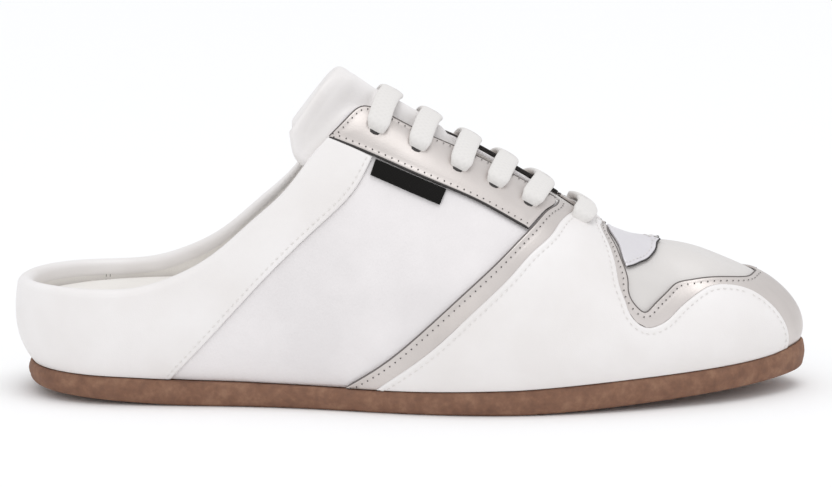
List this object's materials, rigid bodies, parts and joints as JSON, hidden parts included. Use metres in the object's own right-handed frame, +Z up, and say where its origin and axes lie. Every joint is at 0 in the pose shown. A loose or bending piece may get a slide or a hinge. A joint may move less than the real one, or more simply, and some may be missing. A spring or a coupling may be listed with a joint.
{
  "type": "sneaker",
  "caption": "Low leather sneaker with an open back, padded tongue, flat lace bars across the throat and a thin crepe rubber sole.",
  "frame": {"origin": "on the flat tread of the sole, on the heel-to-toe line at mid length", "axes": "+X from heel to toe, +Y towards the inner side of the foot, +Z up"},
  "size_m": [0.2629, 0.092, 0.1078],
  "materials": {
    "sole": "matte crepe rubber",
    "white_leather": "smooth coated leather, satin",
    "silver_leather": "metallic foil leather, semi-gloss",
    "lining": "soft matte lining leather",
    "lace": "flat woven cotton lace",
    "tab": "woven ribbon, matte"
  },
  "bodies": {
    "root": {"outsole": "sole", "insole": "lining", "upper": "white_leather", "heel_panel": "white_leather", "tongue": "white_leather", "eyestay_lateral": "silver_leather", "eyestay_medial": "silver_leather", "trim_lateral": "silver_leather", "trim_medial": "silver_leather", "trim_toe": "silver_leather", "mudguard_lateral": "white_leather", "mudguard_medial": "white_leather", "throat_tab": "silver_leather", "side_tab": "tab", "lace_bar_1": "lace", "lace_bar_2": "lace", "lace_bar_3": "lace", "lace_bar_4": "lace", "lace_bar_5": "lace", "lace_bar_6": "lace"}
  },
  "joints": []
}
